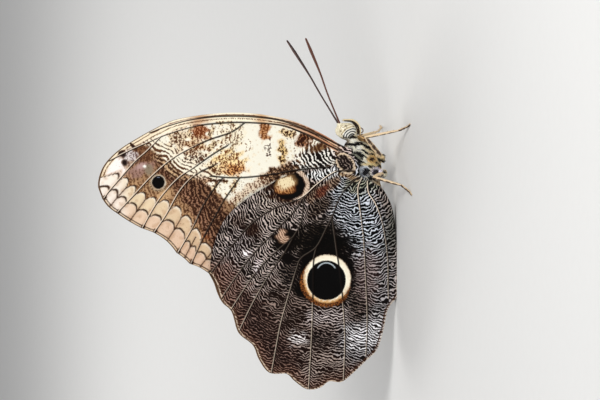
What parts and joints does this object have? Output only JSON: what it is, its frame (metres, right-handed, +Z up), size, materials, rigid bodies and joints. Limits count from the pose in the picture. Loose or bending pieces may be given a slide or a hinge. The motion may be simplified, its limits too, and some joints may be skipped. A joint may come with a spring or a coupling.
{
  "type": "owl butterfly model",
  "caption": "Life-size still model of an owl butterfly at rest, wings closed upright over its back, with raised wing veins, clubbed feelers and splayed legs.",
  "frame": {"origin": "on the floor, under the middle of the box round the whole model", "axes": "+X to the head, +Y to the animal's left, +Z up; the closed wings stand in the XZ plane"},
  "size_m": [0.1052, 0.045, 0.0907],
  "materials": {
    "wing_scales": "matt wing scales in brown, cream and black, with large eyespots and fine cross ripples",
    "body_fur": "short soft fur in grey brown and cream",
    "cuticle": "smooth horn-like skin, tan to reddish brown, with fine scales",
    "eye_glaze": "glossy dark brown with pale bands"
  },
  "bodies": {
    "root": {"thorax": "body_fur", "abdomen": "body_fur", "head": "body_fur", "eye_left": "eye_glaze", "eye_right": "eye_glaze", "antenna_left": "cuticle", "antenna_right": "cuticle", "palp_left": "body_fur", "palp_right": "body_fur", "proboscis": "cuticle", "foreleg_left": "body_fur", "foreleg_right": "body_fur", "midleg_left": "cuticle", "midleg_right": "cuticle", "hindleg_left": "cuticle", "hindleg_right": "cuticle", "forewing_left": "wing_scales", "forewing_right": "wing_scales", "hindwing_left": "wing_scales", "hindwing_right": "wing_scales"}
  },
  "joints": []
}
